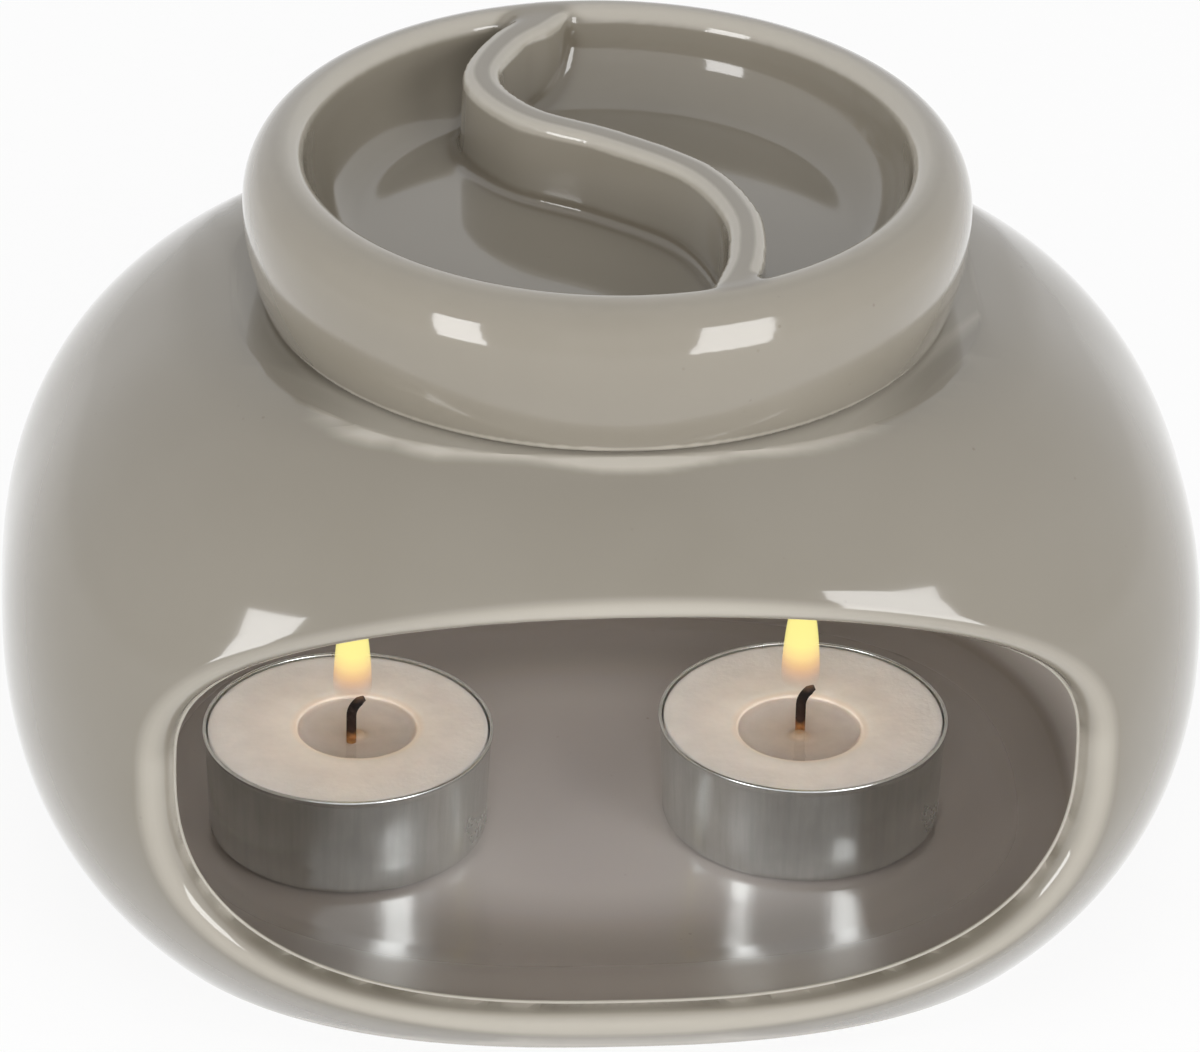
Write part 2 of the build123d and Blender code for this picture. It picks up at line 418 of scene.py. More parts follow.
def chamberColumn(turn):  # from the middle of the floor, up the wall, to the heat hole
    unitX, unitY = ovalUnit(turn, pebble["planPower"])

    def onWall(level):
        halfX, halfY = pebbleSpan(level, pebble["wall"])
        return Vector((halfX * unitX, halfY * unitY, level))

    halfX, halfY = chamber["floorHalf"]
    middle = Vector((0, chamber["floorShift"], chamber["floor"]))
    crease = middle + Vector((halfX * unitX, halfY * unitY, 0))
    foot = onWall(chamber["wallFoot"])
    beforeFoot = foot - (foot - crease).normalized() * chamber["footBlend"]
    lowest = chamber["wallFoot"] + chamber["footBlend"]
    aboveFoot = onWall(lowest)
    farShare, nearShare, slopeShare = chamber["creaseShares"]
    points = [crease.lerp(middle, farShare), crease.lerp(middle, nearShare), crease.lerp(foot, slopeShare)]
    points += [crease.lerp(beforeFoot, share) for share in chamber["slopeShares"]]
    for row in range(chamber["footRows"]):
        points.append(cornerPoint(beforeFoot, foot, aboveFoot, row / chamber["footRows"]))
    for row in range(chamber["wallRows"] + 1):
        points.append(onWall(lowest + (chamber["ceiling"] - lowest) * row / chamber["wallRows"]))
    edge = Vector((math.cos(turn), math.sin(turn), 0)) * chamber["heatHole"]
    edge.z = chamber["ceiling"]
    points += [points[-1].lerp(edge, share) for share in chamber["ceilingShares"]]
    return points + [edge, Vector((edge.x, edge.y, chamber["shaftTop"]))]


def makeChamber():
    return gridOf("chamberCutter", [chamberColumn(turn) for turn in turnsOf(pebble["columns"])])


def makeCollar():  # the low ring that keeps the dish in the middle
    bottom, top = pebble["seat"] - collar["sunk"], collar["top"]
    clearSelection()
    bpy.ops.mesh.primitive_cylinder_add(
        vertices=collar["facets"],
        radius=collar["radius"] * mm,
        depth=(top - bottom) * mm,
        location=(0, 0, (top + bottom) / 2 * mm),
    )
    ring = added("heatCollar")

    def rule(edge):
        return min(ring.data.vertices[index].co.z for index in edge.vertices) > (top - mergeDistance) * mm

    editWhere(ring, "EDGE", ring.data.edges, rule)
    bpy.ops.mesh.bevel(offset=collar["bevel"] * mm, segments=collar["bevelSteps"], profile=0.5)
    endEdit()
    return ring


def makeLipBead():  # the glaze gathers in a fine bead on the mouth's inner edge
    segments, radius = pebble["columns"], lipBead["radius"]
    ring, thin = 1.0, 0.1  # the torus before its points are placed
    clearSelection()
    bpy.ops.mesh.primitive_torus_add(
        major_segments=segments,
        minor_segments=lipBead["sides"],
        major_radius=ring,
        minor_radius=thin,
    )
    bead = added("lipBead")
    edges = [mouthEdge(turn, pebble["wall"]) for turn in turnsOf(segments)]
    middle = Vector((mouth["shift"], 0, mouth["sideLevel"]))

    def rule(co):
        turn = math.atan2(co.y, co.x)
        around = math.atan2(co.z, math.hypot(co.x, co.y) - ring)
        edge = edges[round(turn / math.tau * segments) % segments]
        outward = edge - middle
        outward.y = 0
        outward.normalize()
        return (edge + (outward * math.cos(around) - Vector((0, 1, 0)) * math.sin(around)) * radius) * mm

    placeVertices(bead, rule)
    tidyMesh(bead)
    smoothAll(bead, lipBead["smoothAngle"])
    return bead


def makeBody():
    body = makeShell()
    ringFlatFace(body, pebble["seat"], pebble["seatBevel"])
    ringFlatFace(body, 0, pebble["baseBevel"])
    cutOrJoin(body, makeCollar(), "UNION")
    cutOrJoin(body, makeChamber(), "DIFFERENCE")
    smoothAll(body, pebble["smoothAngle"])
    bead = makeLipBead()
    pickOnly(body)
    bead.select_set(True)
    bpy.ops.object.join()
    return body


def isInside(place):  # on the chamber's surface, short of the lip and the heat hole
    point = place / mm
    pastWall, pastFloor, pastCeiling = chamber["skin"]
    level = chamber["floor"] - pastFloor < point.z < chamber["ceiling"] + pastCeiling
    return level and pebbleLevel(point, pebble["wall"] - pastWall) < 1


ceramicBody = makeBody()
markBends(ceramicBody)
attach(ceramicBody, "body")
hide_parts("burner_body")
print("body:", len(ceramicBody.data.polygons), "faces")

# oil dish: a turned bowl and its S-shaped wall, joined and softened as one casting
dish = {
    "seat": dishLow[2],
    "footRadius": 43.1,
    "footRound": 0.6,
    "bulge": (dishHigh[0], 92.2),
    "crest": (40.2, dishHigh[2]),
    "rimRound": 2.2,
    "bowlFloor": (30.0, 88.3),
    "recess": (35.0, 84.0),
    "flankStart": 0.96,
    "arcSteps": 14,
    "rimSteps": 8,
    "steps": 180,
    "voxel": 0.5,
    "smoothing": 18,
    "smoothFrom": 1.5,
    "smoothOver": 4.0,
}
divider = {
    "footThickness": 5.4,
    "topShare": 0.86,
    "foot": 85.6,
    "topDrop": 0.25,
    "rows": 6,
    "samples": 10,
    # the middle line from back to front, in shares of the bowl's inner radius
    "across": (-0.1, -0.175, -0.29, -0.39, -0.26, 0.015, 0.28, 0.4, 0.395, 0.35, 0.31),
    "along": (1.07, 0.95, 0.82, 0.54, 0.27, 0.085, -0.155, -0.46, -0.74, -0.91, -1.02),
}


def smoothPath(points, samples):  # an even curve through the points
    ends = [points[0] * 2 - points[1]] + points + [points[-1] * 2 - points[-2]]
    path = []
    for index in range(1, len(ends) - 2):
        a, b, c, d = ends[index - 1 : index + 3]
        for step in range(samples):
            t = step / samples
            square, cube = a * 2 - b * 5 + c * 4 - d, b * 3 - a - c * 3 + d
            path.append((b * 2 + (c - a) * t + square * t**2 + cube * t**3) * 0.5)
    return path + [points[-1]]


def makeDivider():
    inner = dish["crest"][0] - dish["rimRound"]
    foot, high = divider["foot"], dish["crest"][1] - divider["topDrop"] - divider["foot"]
    shares = zip(divider["across"], divider["along"])
    path = smoothPath([Vector((x, y, 0)) * inner for x, y in shares], divider["samples"])
    wall = startLine("dishDivider", path[0] + Vector((0, 0, foot)))
    extrudeLine(path)
    for _ in range(divider["rows"]):
        lift = (0, 0, high / divider["rows"] * mm)
        bpy.ops.mesh.extrude_region_move(TRANSFORM_OT_translate={"value": lift})
    endEdit()
    draft = wall.vertex_groups.new(name="draft")
    for vertex in wall.data.vertices:
        share = (vertex.co.z / mm - foot) / high
        draft.add([vertex.index], 1 + (divider["topShare"] - 1) * share, "REPLACE")
    thickness = divider["footThickness"] * mm
    applyModifier(wall, "SOLIDIFY", thickness=thickness, offset=0, vertex_group="draft", use_even_offset=True)
    tidyMesh(wall)
    return wall


def dishProfile():
    bulgeRadius, bulgeLevel = dish["bulge"]
    crestRadius, crestLevel = dish["crest"]
    floorRadius, floorLevel = dish["bowlFloor"]
    recessRadius, recessLevel = dish["recess"]
    rim, steps = dish["rimRound"], dish["arcSteps"]
    innerRadius, innerLevel = crestRadius - rim, crestLevel - rim
    sag, rise = bulgeRadius - dish["footRadius"], bulgeLevel - dish["seat"]
    flank = (rise**2 + sag**2) / (2 * sag)
    startAngle = -math.degrees(math.asin(rise / flank)) * dish["flankStart"]
    shoulderX, shoulderZ = bulgeRadius - crestRadius, crestLevel - bulgeLevel
    bowlX, bowlZ = innerRadius - floorRadius, innerLevel - floorLevel
    profile = [(0, recessLevel), (recessRadius, recessLevel), (recessRadius, dish["seat"])]
    profile += [(dish["footRadius"] - dish["footRound"], dish["seat"])]
    profile += arcPoints((bulgeRadius - flank, bulgeLevel), flank, flank, startAngle, 0, steps)
    profile += arcPoints((crestRadius, bulgeLevel), shoulderX, shoulderZ, 0, 90, steps)[1:]
    profile += arcPoints((crestRadius, innerLevel), rim, rim, 90, 180, dish["rimSteps"])[1:]
    profile += arcPoints((floorRadius, innerLevel), bowlX, bowlZ, 0, -90, steps)[1:]
    return profile + [(0, floorLevel)]


def makeDish():
    bowl = turned("oilDish", dishProfile(), steps=dish["steps"])
    cutOrJoin(bowl, makeDivider(), "UNION")
    applyModifier(bowl, "REMESH", mode="VOXEL", voxel_size=dish["voxel"] * mm)
    upper = bowl.vertex_groups.new(name="upper")
    for vertex in bowl.data.vertices:
        share = (vertex.co.z / mm - dish["seat"] - dish["smoothFrom"]) / dish["smoothOver"]
        upper.add([vertex.index], min(1.0, max(0.0, share)), "REPLACE")
    applyModifier(bowl, "SMOOTH", factor=0.5, iterations=dish["smoothing"], vertex_group="upper")
    pickOnly(bowl)
    bpy.ops.object.shade_smooth()
    return bowl


oilDish = makeDish()
markBends(oilDish)
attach(oilDish, "dish")
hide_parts("oil_dish")
print("dish:", len(oilDish.data.polygons), "faces")


# tealights: cups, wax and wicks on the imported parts, with melted wax and flames
def cupMiddle(side):  # under the middle of the cup, where it stands
    low, high = cupBoxes[side]
    return round((low[0] + high[0]) / 2, 1), round((low[1] + high[1]) / 2, 1), low[2]


tealight = {
    "centres": {side: cupMiddle(side) for side in sides},
    "pools": {"left": 7.7, "right": 8.0},
    "poolShifts": {"left": (1.2, 1.0), "right": (-0.6, -2.0)},
    "shiftEdges": (-1.5, 1.8),  # from the wax's radius and from the pool's
    "shiftFrom": 8.0,
    "shiftOver": 3.0,
    "steps": 144,
    "smoothAngle": 70,
}
cup = {
    "offsets": {"left": (0, 0), "right": (0, 0)},
    "footRadius": 16.5,
    "footRound": 1.4,
    "footArc": (-90, -8, 6),  # first and last angle, steps
    "wallRadius": 18.55,
    "taper": 0.55,
    "outside": ((-0.45, 4.0), (-0.25, 9.0), (0.0, 13.6)),  # from the wall's radius, height
    "inside": ((0.0, 13.4), (-0.5, 2.0)),
    "bead": 0.24,
    "beadLevel": 14.45,
    "beadArc": (-60, 200, 10),
    "sheet": 0.4,
    "smoothAngle": 50,
}
wax = {
    "top": 14.3,
    "radius": 18.1,
    "base": ((0, 0.5), (15.9, 0.5), (16.9, 1.6)),
    # from the wax's radius and top
    "rim": ((-0.35, -7.3), (0, 0.05), (-0.15, 0.15), (-0.7, 0.08), (-1.6, 0)),
    # from the pool's radius and the wax's top
    "edge": ((4, -0.02), (1.8, -0.08), (0.9, -0.18)),
    "lip": (0.5, -0.65),
    "lipReach": (0.6, 0.4),
    "lipArc": (80, 180, 4),
    "slope": ((-0.5, -0.9), (-1.4, -1.35), (-3, -1.8)),
    "hollow": ((2.6, -2.6), (1.5, -2.5), (1.0, -2.1), (0.75, -1.5), (0, -1.4)),  # from the axis
}
melt = {"drop": 0.75, "edge": ((-1.2, 0), (-0.35, 0.08), (0.1, 0.25))}
wick = {
    "offsets": {"left": (0.4, -0.6), "right": (-0.4, -0.6)},
    "radius": 0.65,
    "sides": 14,
    "poolLevel": 13.3,
    "sunk": 2.4,
    "stand": 3.4,
    "straightSteps": 5,
    "bendRadius": 2.9,
    "bendAngle": 62.0,
    "bendSteps": 12,
    "tipSteps": 3,
    "tipTaper": 0.84,
    "smoothAngle": 60,
}
flame = {
    "offsets": {"left": (0.54, 0), "right": (-0.55, 0)},
    "base": 15.7,
    "height": 21.0,
    "radius": 2.55,
    "steps": 48,
    # the outline, in shares of the radius and the height
    "across": (0, 0.45, 0.8, 0.97, 1.0, 0.97, 0.89, 0.78, 0.62, 0.4, 0.18, 0),
    "upward": (0, 0.02, 0.06, 0.13, 0.22, 0.34, 0.48, 0.6, 0.72, 0.84, 0.94, 1),
}


def placeOf(side, offsets):
    x, y, z = tealight["centres"][side]
    moveX, moveY = offsets[side]
    return Vector((x + moveX, y + moveY, z))


def makeOrCopy(made, make, name, side, offsets):  # modelled on the left, then copied to the right
    place = placeOf(side, offsets)
    if not made:
        return make(name + side, place)
    return copied(made["left"], name + side, place - placeOf("left", offsets))


def makeCup(name, place):
    foot, wall, sheet = cup["footRadius"], cup["wallRadius"], cup["sheet"]
    footRound, bead = cup["footRound"], cup["bead"]
    profile = [(0, 0), (foot / 2, 0), (foot, 0)]
    profile += arcPoints((foot, footRound), wall - foot - cup["taper"], footRound, *cup["footArc"])
    profile += [(wall + move, level) for move, level in cup["outside"]]
    profile += arcPoints((wall, cup["beadLevel"]), bead, bead, *cup["beadArc"])
    profile += [(wall - sheet + move, level) for move, level in cup["inside"]]
    profile += [(foot, sheet), (0, sheet)]
    tin = turned(name, profile, place, tealight["steps"])
    smoothAll(tin, cup["smoothAngle"])
    return tin


def shiftPool(obj, side):  # the pool drifts off the candle's middle, while the edge of the wax stays
    middle = Vector(tealight["centres"][side])
    shift = Vector((*tealight["poolShifts"][side], 0))
    fromRadius, fromPool = tealight["shiftEdges"]
    still, whole = wax["radius"] + fromRadius, tealight["pools"][side] + fromPool

    def rule(co):
        out = co / mm - middle
        share = (still - math.hypot(out.x, out.y)) / (still - whole)
        low = min(1.0, max(0.0, (out.z - tealight["shiftFrom"]) / tealight["shiftOver"]))
        return co + shift * min(1.0, max(0.0, share)) * low * mm

    placeVertices(obj, rule)


def outFrom(radius, level, points):
    return [(radius + move, level + lift) for move, lift in points]


def makeWax(side):
    pool, top = tealight["pools"][side], wax["top"]
    [lipMiddle] = outFrom(pool, top, [wax["lip"]])
    profile = list(wax["base"]) + outFrom(wax["radius"], top, wax["rim"]) + outFrom(pool, top, wax["edge"])
    profile += arcPoints(lipMiddle, *wax["lipReach"], *wax["lipArc"])
    profile += outFrom(pool, top, wax["slope"]) + outFrom(0, top, wax["hollow"])
    disc = turned("waxDisc_" + side, profile, tealight["centres"][side], tealight["steps"])
    shiftPool(disc, side)
    smoothAll(disc, tealight["smoothAngle"])
    return disc


def makeMelt(side):
    level = wax["top"] - melt["drop"]
    profile = [(0, level)] + outFrom(tealight["pools"][side], level, melt["edge"])
    disc = turned("meltedWax_" + side, profile, tealight["centres"][side], tealight["steps"])
    if disc.data.polygons[0].normal.z < 0:
        startEdit(disc)
        bpy.ops.mesh.flip_normals()
        endEdit()
    shiftPool(disc, side)
    smoothAll(disc, tealight["smoothAngle"])
    return disc


def makeWick(name, place):
    start = place + Vector((0, 0, wick["poolLevel"] - wick["sunk"]))
    clearSelection()
    bpy.ops.mesh.primitive_circle_add(
        vertices=wick["sides"],
        radius=wick["radius"] * mm,
        location=start * mm,
        fill_type="NGON",
    )
    cord = added(name)
    startEdit(cord)
    straight = wick["sunk"] + wick["stand"]
    lift = (0, 0, straight / wick["straightSteps"] * mm)
    for _ in range(wick["straightSteps"]):
        bpy.ops.mesh.extrude_region_move(TRANSFORM_OT_translate={"value": lift})
    tilt, here = 0.0, start + Vector((0, 0, straight))
    turnStep = math.radians(wick["bendAngle"]) / wick["bendSteps"]
    for step in range(wick["bendSteps"]):
        tilt += turnStep
        move = Vector((math.sin(tilt), 0, math.cos(tilt))) * wick["bendRadius"] * turnStep
        here = here + move
        bpy.ops.mesh.extrude_region_move(TRANSFORM_OT_translate={"value": move * mm})
        bpy.ops.transform.rotate(value=-turnStep, orient_axis="Y", center_override=here * mm)
        size = wick["tipTaper"] if step >= wick["bendSteps"] - wick["tipSteps"] else 1.0
        bpy.ops.transform.resize(value=(size, size, size), center_override=here * mm)
    endEdit()
    tidyMesh(cord)
    smoothAll(cord, wick["smoothAngle"])
    return cord


def makeFlame(name, place):
    shares = zip(flame["across"], flame["upward"])
    profile = [(flame["radius"] * across, flame["height"] * up) for across, up in shares]
    tongue = turned(name, profile, place + Vector((0, 0, flame["base"])), flame["steps"])
    applyModifier(tongue, "SUBSURF", levels=1, render_levels=1)
    pickOnly(tongue)
    bpy.ops.object.shade_smooth()
    return tongue


cups, waxDiscs, meltedPools, wicks, flames = {}, {}, {}, {}, {}
for side in sides:
    cups[side] = makeOrCopy(cups, makeCup, "candleCup_", side, cup["offsets"])
    waxDiscs[side] = makeWax(side)
    meltedPools[side] = makeMelt(side)
    wicks[side] = makeOrCopy(wicks, makeWick, "candleWick_", side, wick["offsets"])
    flames[side] = makeOrCopy(flames, makeFlame, "candleFlame_", side, flame["offsets"])
for side in sides:
    for piece in (cups, waxDiscs, meltedPools, wicks, flames):
        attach(piece[side], "tealight_" + side)
    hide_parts("tealight_cup_" + side)
    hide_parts("tealight_wax_" + side)
    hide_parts("tealight_wick_" + side)
print("tealights made")


# material helpers; a noise is given as its scale, detail and roughness
def newMaterial(name):
    material = bpy.data.materials.new(name)
    material.use_nodes = True
    return material, material.node_tree, material.node_tree.nodes["Principled BSDF"]


def addNode(tree, kind, **settings):
    node = tree.nodes.new(kind)
    for key, value in settings.items():
        setattr(node, key, value)
    return node


def feed(value, socket):  # a number or a colour is set, anything else is linked
    if isinstance(value, (int, float, tuple)):
        socket.default_value = value
    else:
        socket.id_data.links.new(value, socket)


def setInputs(node, **values):
    for key, value in values.items():
        feed(value, node.inputs[key.replace("_", " ")])


def ramp(tree, stops, source, smooth=False):
    node = addNode(tree, "ShaderNodeValToRGB")
    node.color_ramp.interpolation = "EASE" if smooth else "LINEAR"
    while len(node.color_ramp.elements) < len(stops):
        node.color_ramp.elements.new(0.5)
    for element, (place, colour) in zip(node.color_ramp.elements, stops):
        element.position = place
        element.color = colour if isinstance(colour, tuple) else (colour, colour, colour, 1)
    setInputs(node, Fac=source)
    return node.outputs["Color"]


def mixColour(tree, mode, factor, first, second):
    node = addNode(tree, "ShaderNodeMix", data_type="RGBA", blend_type=mode)
    for value, index in ((factor, 0), (first, 6), (second, 7)):
        feed(value, node.inputs[index])
    return node.outputs[2]


def doMath(tree, operation, first, second=0.0, clamp=False):
    node = addNode(tree, "ShaderNodeMath", operation=operation, use_clamp=clamp)
    feed(first, node.inputs[0])
    feed(second, node.inputs[1])
    return node.outputs[0]


def times(tree, first, second, clamp=False):
    return doMath(tree, "MULTIPLY", first, second, clamp)


def plus(tree, first, second):
    return doMath(tree, "ADD", first, second)


def noise(tree, vector, pattern):
    node = addNode(tree, "ShaderNodeTexNoise")
    scale, detail, roughness = pattern
    setInputs(node, Scale=scale, Detail=detail, Roughness=roughness, Vector=vector)
    return node.outputs["Fac"]


def objectPlace(tree):
    return addNode(tree, "ShaderNodeTexCoord").outputs["Object"]


def splitAxes(tree, vector):
    node = addNode(tree, "ShaderNodeSeparateXYZ")
    setInputs(node, Vector=vector)
    return node.outputs


def lengthOf(tree, vector, scales):  # how long a vector is once its axes are scaled
    scaled = addNode(tree, "ShaderNodeVectorMath", operation="MULTIPLY")
    feed(vector, scaled.inputs[0])
    feed(scales, scaled.inputs[1])
    node = addNode(tree, "ShaderNodeVectorMath", operation="LENGTH")
    feed(scaled.outputs["Vector"], node.inputs[0])
    return node.outputs["Value"]


def fromAxis(tree, centre):  # the place measured from a tealight's own axis
    node = addNode(tree, "ShaderNodeMapping", vector_type="POINT")
    setInputs(node, Location=tuple(-value * mm for value in centre), Vector=objectPlace(tree))
    return node.outputs["Vector"]


def addBump(tree, height, strength, distance):  # distance in millimetres
    node = addNode(tree, "ShaderNodeBump")
    setInputs(node, Strength=strength, Distance=distance * mm, Height=height)
    setInputs(tree.nodes["Principled BSDF"], Normal=node.outputs["Normal"])


def mixShaders(tree, factor, first, second):
    node = addNode(tree, "ShaderNodeMixShader")
    for value, index in ((factor, 0), (first, 1), (second, 2)):
        feed(value, node.inputs[index])
    setInputs(tree.nodes["Material Output"], Surface=node.outputs["Shader"])


def seenBy(tree, rays, *kinds):  # 1 for rays of these kinds, 0 for the others
    total = rays.outputs[kinds[0]]
    for kind in kinds[1:]:
        total = doMath(tree, "MAXIMUM", total, rays.outputs[kind])
    return total


# glaze on the body, in the chamber and on the dish
glaze = {
    "bodyTone": (0.185, 0.167, 0.136, 1),
    "bodyDeep": (0.164, 0.146, 0.115, 1),
    "dishTone": (0.215, 0.194, 0.158, 1),
    "dishDeep": (0.19, 0.17, 0.135, 1),
    "drift": 0.6,
    "driftNoise": (22, 3, 0.55),
    "driftRamp": ((0.3, 0.0), (0.7, 1.0)),
    "specks": 0.35,
    "speckTone": (0.45, 0.4, 0.34, 1),
    "speckScale": 420.0,
    "speckRamp": ((0.05, 1.0), (0.12, 0.0)),
    "speckNoise": (160, 1, 0.5),
    "speckShare": ((0.62, 0.0), (0.7, 1.0)),
    # painted highlight: the glaze turns lighter where the surface bends outwards
    "paintedHighlightTone": (0.345, 0.32, 0.274, 1),
    "paintedHighlightRamp": ((0.085, 0.0), (0.21, 1.0)),
    # painted shade: the glaze turns darker where the surface bends inwards
    "paintedShadeTone": (0.6, 0.56, 0.5, 1),
    "paintedShadeRamp": ((0.02, 0.0), (0.2, 0.7)),
    "gloss": (0.07, 0.12),
    "glossNoise": (60, 3, 0.6),
    "glossSpan": (0.3, 0.7),
    "peel": 0.12,
    "peelNoise": (330, 2, 0.5),
    "waveNoise": (45, 2, 0.4),
    "bump": (0.6, 0.06),  # strength and distance
    "shine": 1.5,
    "coat": 0.6,
    "coatRoughness": 0.03,
}
# painted light: the chamber's tones are much lighter than the body's glaze and stand in for the light inside
# it; the floor darkens towards its edge as painted shade
chamberPaintedLightGlaze = {
    "floorTone": (0.47, 0.43, 0.41, 1),
    "paintedFloorShadeRamp": ((0.55, (1, 1, 1, 1)), (0.95, (0.5, 0.475, 0.44, 1))),  # over the floor's half sizes
    "paintedLightWallTone": (0.84, 0.81, 0.8, 1),
    "paintedLightWallRamp": ((0.28, 0.0), (0.6, 1.0)),
    "dullRamp": ((0.222, 0.0), (0.245, 0.34)),
    "rampHeight": 20.0,
    "shine": 1.9,
}
glazeInputs = {
    "Vector": ("Vector",),
    "Color": ("Tone", "Deep Tone", "Edge Tone"),
    "Float": ("Bend", "Drift", "Specks", "Gloss Low", "Gloss High"),
}
glazeOutputs = {"Color": ("Colour",), "Float": ("Roughness", "Height")}


def buildGlazeGroup():  # a fired glaze: drifting tone, faint iron specks, a painted highlight on outward bends, painted shade in hollows and a slight orange peel
    tree = bpy.data.node_groups.new("firedGlaze", "ShaderNodeTree")
    for way, sockets in (("INPUT", glazeInputs), ("OUTPUT", glazeOutputs)):
        for kind, names in sockets.items():
            for name in names:
                tree.interface.new_socket(name, in_out=way, socket_type="NodeSocket" + kind)
    given = addNode(tree, "NodeGroupInput").outputs
    vector = given["Vector"]
    drift = ramp(tree, glaze["driftRamp"], noise(tree, vector, glaze["driftNoise"]), smooth=True)
    drift = times(tree, drift, given["Drift"], clamp=True)
    tone = mixColour(tree, "MIX", drift, given["Tone"], given["Deep Tone"])
    cells = addNode(tree, "ShaderNodeTexVoronoi", feature="F1")
    setInputs(cells, Scale=glaze["speckScale"], Randomness=1.0, Vector=vector)
    dots = ramp(tree, glaze["speckRamp"], cells.outputs["Distance"])
    chosen = ramp(tree, glaze["speckShare"], noise(tree, vector, glaze["speckNoise"]))
    chosen = times(tree, chosen, given["Specks"])
    specks = times(tree, dots, chosen, clamp=True)
    tone = mixColour(tree, "MULTIPLY", specks, tone, glaze["speckTone"])
    # painted highlight: a lighter tone on outward bends
    edges = ramp(tree, glaze["paintedHighlightRamp"], given["Bend"], smooth=True)
    tone = mixColour(tree, "MIX", edges, tone, given["Edge Tone"])
    # painted shade: a darker tone in hollows, where the surface bends inwards
    hollow = times(tree, given["Bend"], -1.0)
    hollow = ramp(tree, glaze["paintedShadeRamp"], hollow, smooth=True)
    tone = mixColour(tree, "MULTIPLY", hollow, tone, glaze["paintedShadeTone"])
    lowest, highest = glaze["glossSpan"]
    gloss = addNode(tree, "ShaderNodeMapRange")
    setInputs(gloss, Value=noise(tree, vector, glaze["glossNoise"]), From_Min=lowest, From_Max=highest)
    setInputs(gloss, To_Min=given["Gloss Low"], To_Max=given["Gloss High"])
    peel = times(tree, noise(tree, vector, glaze["peelNoise"]), glaze["peel"])
    height = plus(tree, peel, noise(tree, vector, glaze["waveNoise"]))
    result = addNode(tree, "NodeGroupOutput")
    setInputs(result, Colour=tone, Roughness=gloss.outputs["Result"], Height=height)
    return tree


glazeGroup = buildGlazeGroup()


def glazeMaterial(name, tone, deep):
    material, tree, principled = newMaterial(name)
    bend = addNode(tree, "ShaderNodeAttribute", attribute_name="bend")
    group = addNode(tree, "ShaderNodeGroup", node_tree=glazeGroup)
    glossLow, glossHigh = glaze["gloss"]
    setInputs(group, Vector=objectPlace(tree), Bend=bend.outputs["Fac"])
    setInputs(group, Tone=tone, Deep_Tone=deep, Edge_Tone=glaze["paintedHighlightTone"])
    setInputs(group, Drift=glaze["drift"], Specks=glaze["specks"], Gloss_Low=glossLow, Gloss_High=glossHigh)
    addBump(tree, group.outputs["Height"], *glaze["bump"])
    setInputs(principled, Base_Color=group.outputs["Colour"], Roughness=group.outputs["Roughness"])
    setInputs(principled, IOR=glaze["shine"], Coat_IOR=glaze["shine"])
    setInputs(principled, Coat_Weight=glaze["coat"], Coat_Roughness=glaze["coatRoughness"])
    return material


def chamberMaterial():  # a far lighter copy of the glaze, painted light for the light inside the chamber: lighter still up the walls, with painted shade darkening the floor towards its edge
    floorTone, paintedLightWallTone = chamberPaintedLightGlaze["floorTone"], chamberPaintedLightGlaze["paintedLightWallTone"]
    material = glazeMaterial("chamberPaintedLightGlaze", floorTone, floorTone)
    tree = material.node_tree
    group, place = tree.nodes["Group"], objectPlace(tree)
    halfX, halfY = chamber["floorHalf"]
    share = lengthOf(tree, place, (1 / (halfX * mm), 1 / (halfY * mm), 0))
    # painted shade: the floor's tone darkens towards the floor's edge
    paintedFloorShade = ramp(tree, chamberPaintedLightGlaze["paintedFloorShadeRamp"], share, smooth=True)
    rise = doMath(tree, "DIVIDE", splitAxes(tree, place)["Z"], chamberPaintedLightGlaze["rampHeight"] * mm, clamp=True)
    # painted light: the tone turns lighter up the walls
    upper = ramp(tree, chamberPaintedLightGlaze["paintedLightWallRamp"], rise)
    tone = mixColour(tree, "MIX", upper, mixColour(tree, "MULTIPLY", 1.0, paintedFloorShade, floorTone), paintedLightWallTone)
    setInputs(group, Tone=tone, Deep_Tone=tone)
    dull = plus(tree, group.outputs["Roughness"], ramp(tree, chamberPaintedLightGlaze["dullRamp"], rise))
    setInputs(tree.nodes["Principled BSDF"], Roughness=dull, IOR=chamberPaintedLightGlaze["shine"], Coat_Weight=0.0)
    return material


# drawn aluminium of the cups
aluminium = {
    "around": 6.0,
    "upward": 25.0,
    "lineNoise": (3.2, 4, 0.65),
    "toneRamp": ((0.3, (0.68, 0.71, 0.7, 1)), (0.7, (0.79, 0.81, 0.805, 1))),
    "cloudNoise": (90, 4, 0.6),
    "cloudRamp": ((0.35, 0.9), (0.65, 1.0)),
    "roughRamp": ((0.3, 0.17), (0.7, 0.28)),
    "dentNoise": (70, 1, 0.4),
    "dents": 0.8,
    "clouds": 0.6,
    "bump": (0.35, 0.06),
}


def cupMaterial(side):
    material, tree, principled = newMaterial("drawnAluminium_" + side)
    vector = fromAxis(tree, tealight["centres"][side])
    axes = splitAxes(tree, vector)
    turn = doMath(tree, "ARCTAN2", axes["Y"], axes["X"])
    sine = times(tree, doMath(tree, "SINE", turn), aluminium["around"])
    cosine = times(tree, doMath(tree, "COSINE", turn), aluminium["around"])
    streaks = addNode(tree, "ShaderNodeCombineXYZ")
    setInputs(streaks, X=sine, Y=cosine, Z=times(tree, axes["Z"], aluminium["upward"]))
    lines = noise(tree, streaks.outputs["Vector"], aluminium["lineNoise"])
    cloud = noise(tree, vector, aluminium["cloudNoise"])
    tone = ramp(tree, aluminium["toneRamp"], lines)
    tone = mixColour(tree, "MULTIPLY", 1.0, tone, ramp(tree, aluminium["cloudRamp"], cloud))
    dents = times(tree, noise(tree, vector, aluminium["dentNoise"]), aluminium["dents"])
    fine = plus(tree, lines, times(tree, cloud, aluminium["clouds"]))
    addBump(tree, plus(tree, fine, dents), *aluminium["bump"])
    setInputs(principled, Base_Color=tone, Roughness=ramp(tree, aluminium["roughRamp"], cloud), Metallic=1.0)
    return material


